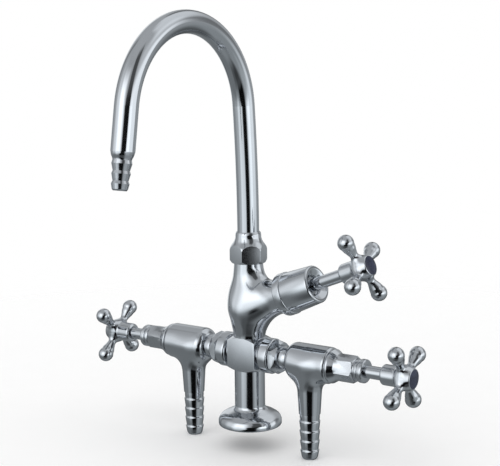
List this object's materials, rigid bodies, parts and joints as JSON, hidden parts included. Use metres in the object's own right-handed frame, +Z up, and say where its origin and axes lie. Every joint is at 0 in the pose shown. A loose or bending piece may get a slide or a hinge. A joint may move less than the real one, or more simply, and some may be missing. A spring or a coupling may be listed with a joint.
{
  "type": "three-outlet bench tap",
  "caption": "Chromed bench tap: flanged pedestal, square cross block, side valves with serrated hose nozzles, and a slanted valve under a tall swivel gooseneck.",
  "frame": {"origin": "centre of the inlet thread on the flange's underside", "axes": "+Z up along the pedestal, +X towards the right valve and the slanted one, the gooseneck reaches out along -Y"},
  "size_m": [0.3252, 0.2012, 0.3797],
  "materials": {
    "chrome_cast": "polished chrome plate on brass castings",
    "chrome_turned": "polished chrome plate on turned brass",
    "chrome_tube": "polished chrome plate on drawn brass tube",
    "brass": "turned brass",
    "rubber": "black rubber",
    "sealing_plastic": "slippery white sealing plastic",
    "screw_steel": "stainless steel",
    "index_plastic": "dark violet-blue glossy plastic"
  },
  "bodies": {
    "tap_body": {"base_gasket": "rubber", "centre_body": "chrome_cast", "cross_block": "chrome_cast", "gooseneck_nut": "chrome_turned", "left_bonnet": "chrome_turned", "left_bonnet_seal": "rubber", "left_packing": "sealing_plastic", "left_packing_nut": "chrome_turned", "left_union_nipple": "chrome_turned", "left_union_nut": "chrome_turned", "left_union_tail": "chrome_turned", "left_union_washer": "rubber", "left_valve_body": "chrome_cast", "pedestal": "chrome_cast", "right_bonnet": "chrome_turned", "right_bonnet_seal": "rubber", "right_packing": "sealing_plastic", "right_packing_nut": "chrome_turned", "right_union_nipple": "chrome_turned", "right_union_nut": "chrome_turned", "right_union_tail": "chrome_turned", "right_union_washer": "rubber", "right_valve_body": "chrome_cast", "swivel_o_ring": "rubber", "swivel_washer": "sealing_plastic", "top_bonnet": "chrome_turned", "top_bonnet_seal": "rubber", "top_packing": "sealing_plastic", "top_packing_nut": "chrome_turned", "top_shroud": "chrome_turned"},
    "left_jumper_set": {"left_jumper": "brass", "left_seat_washer": "rubber"},
    "left_handle_set": {"left_spindle": "chrome_turned", "left_cross_handle": "chrome_cast", "left_handle_screw": "screw_steel", "left_index_cap": "index_plastic"},
    "right_jumper_set": {"right_jumper": "brass", "right_seat_washer": "rubber"},
    "right_handle_set": {"right_spindle": "chrome_turned", "right_cross_handle": "chrome_cast", "right_handle_screw": "screw_steel", "right_index_cap": "index_plastic"},
    "top_jumper_set": {"top_jumper": "brass", "top_seat_washer": "rubber"},
    "top_handle_set": {"top_spindle": "chrome_turned", "top_cross_handle": "chrome_cast", "top_handle_screw": "screw_steel", "top_index_cap": "index_plastic"},
    "spout": {"gooseneck": "chrome_tube", "spout_ferrule": "brass", "spout_nozzle": "chrome_turned"}
  },
  "joints": [
    {"name": "left_lift", "type": "slide", "parent": "tap_body", "child": "left_jumper_set", "axis": [-1, 0, 0], "range_m": [0, 0.005]},
    {"name": "left_turn", "type": "hinge", "parent": "left_jumper_set", "child": "left_handle_set", "pos_m": [-0.1539, 0, 0.0649], "axis": [-1, 0, 0], "range_deg": [0, 900]},
    {"name": "right_lift", "type": "slide", "parent": "tap_body", "child": "right_jumper_set", "axis": [1, 0, 0], "range_m": [0, 0.005]},
    {"name": "right_turn", "type": "hinge", "parent": "right_jumper_set", "child": "right_handle_set", "pos_m": [0.1539, 0, 0.0649], "axis": [1, 0, 0], "range_deg": [0, 900]},
    {"name": "top_lift", "type": "slide", "parent": "tap_body", "child": "top_jumper_set", "axis": [0.9285, 0, 0.3714], "range_m": [0, 0.005]},
    {"name": "top_turn", "type": "hinge", "parent": "top_jumper_set", "child": "top_handle_set", "pos_m": [0.1142, 0, 0.15088], "axis": [0.9285, 0, 0.3714], "range_deg": [0, 900]},
    {"name": "spout_swivel", "type": "hinge", "parent": "tap_body", "child": "spout", "pos_m": [0, 0, 0.155], "axis": [0, 0, 1], "continuous": true}
  ],
  "couplings": [
    {"joint": "left_turn", "follows": "left_lift", "rad_per_m": 3141.6},
    {"joint": "right_turn", "follows": "right_lift", "rad_per_m": 3141.6},
    {"joint": "top_turn", "follows": "top_lift", "rad_per_m": 3141.6}
  ]
}
